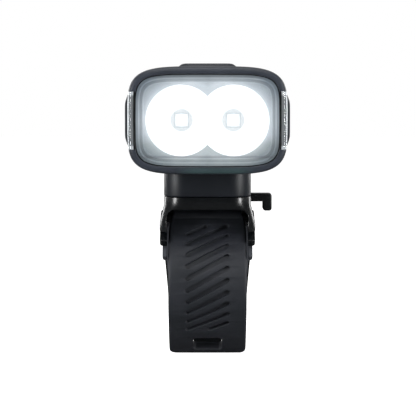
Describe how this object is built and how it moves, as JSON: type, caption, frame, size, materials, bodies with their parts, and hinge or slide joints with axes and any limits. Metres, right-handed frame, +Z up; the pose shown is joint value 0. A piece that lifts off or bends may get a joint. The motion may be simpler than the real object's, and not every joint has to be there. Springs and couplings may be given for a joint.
{
  "type": "bicycle headlight",
  "caption": "Rounded bicycle headlight with paired parabolic reflectors behind a clear lens, on a rail mount with a rubber strap that closes round a handlebar.",
  "frame": {"origin": "centre of the handlebar, midway along the saddle that sits on it", "axes": "+X along the handlebar towards the rider's left, the lamp faces -Y, +Z up"},
  "size_m": [0.0454, 0.0986, 0.0857],
  "materials": {
    "satin_case": "satin moulded",
    "satin_bezel": "satin moulded",
    "satin_foot": "satin moulded",
    "soft_button": "matte moulded",
    "gloss_mount": "polished moulding",
    "gloss_lever": "polished moulding",
    "dark_plastic": "plain moulded",
    "clear_lens": "clear moulded",
    "clear_pipe": "frosted",
    "mirror_bowl": "vacuum plated",
    "emitter": "domed silicone",
    "white_board": "solder mask",
    "green_board": "solder mask",
    "cell_wrap": "shrink wrap over a steel can",
    "red_wire": "wire sleeve",
    "switch_red": "plain moulded",
    "cast_sink": "as machined",
    "bright_steel": "plated",
    "black_screw": "black oxide",
    "nickel": "nickel plated",
    "black_seal": "moulded",
    "pad_rubber": "moulded",
    "strap_rubber": "moulded"
  },
  "bodies": {
    "mount": {"mount_base": "gloss_mount", "saddle_pad": "pad_rubber", "rail_plate": "dark_plastic", "plate_screws": "black_screw", "catch_spring": "bright_steel", "lever_pin": "bright_steel", "strap_pin": "black_screw"},
    "lamp": {"main_housing": "satin_case", "front_bezel": "satin_bezel", "front_lens": "clear_lens", "lens_gasket": "black_seal", "twin_reflector": "mirror_bowl", "led_emitters": "emitter", "led_board": "white_board", "heat_sink": "cast_sink", "board_screws": "bright_steel", "led_leads": "red_wire", "battery_cells": "cell_wrap", "cell_holders": "dark_plastic", "cell_tabs": "nickel", "battery_leads": "red_wire", "control_board": "green_board", "tact_switch": "dark_plastic", "usb_socket": "bright_steel", "rear_cap": "satin_case", "rear_seal": "black_seal", "cap_screws": "black_screw", "mount_foot": "satin_foot", "foot_screws": "black_screw"},
    "button": {"power_button": "soft_button", "switch_plunger": "switch_red", "button_light_pipe": "clear_pipe"},
    "cover": {"port_cover": "soft_button"},
    "lever": {"release_lever": "gloss_lever"},
    "strap": {"strap": "strap_rubber"}
  },
  "joints": [
    {"name": "lamp_slide", "type": "slide", "parent": "mount", "child": "lamp", "axis": [0, -1, 0], "range_m": [0, 0.042], "deforming": ["catch_spring"]},
    {"name": "button_press", "type": "slide", "parent": "lamp", "child": "button", "axis": [0, 0, -1], "range_m": [0, 0.0006], "stiffness_N_per_m": 3000, "springref_m": -0.0004},
    {"name": "cover_open", "type": "hinge", "parent": "lamp", "child": "cover", "pos_m": [0, 0.0537, 0.04912], "axis": [-1, 0, 0], "range_deg": [0, 105]},
    {"name": "lever_press", "type": "hinge", "parent": "mount", "child": "lever", "pos_m": [-0.002, 0.01, 0.02115], "axis": [0, 1, 0], "range_deg": [0, 6.5], "stiffness_Nm_per_rad": 0.6, "springref_deg": -3.44, "deforming": ["catch_spring"]},
    {"name": "strap_swing", "type": "hinge", "parent": "mount", "child": "strap", "pos_m": [0, -0.00657, 0.01804], "axis": [-1, 0, 0], "range_deg": [0, 45]}
  ]
}
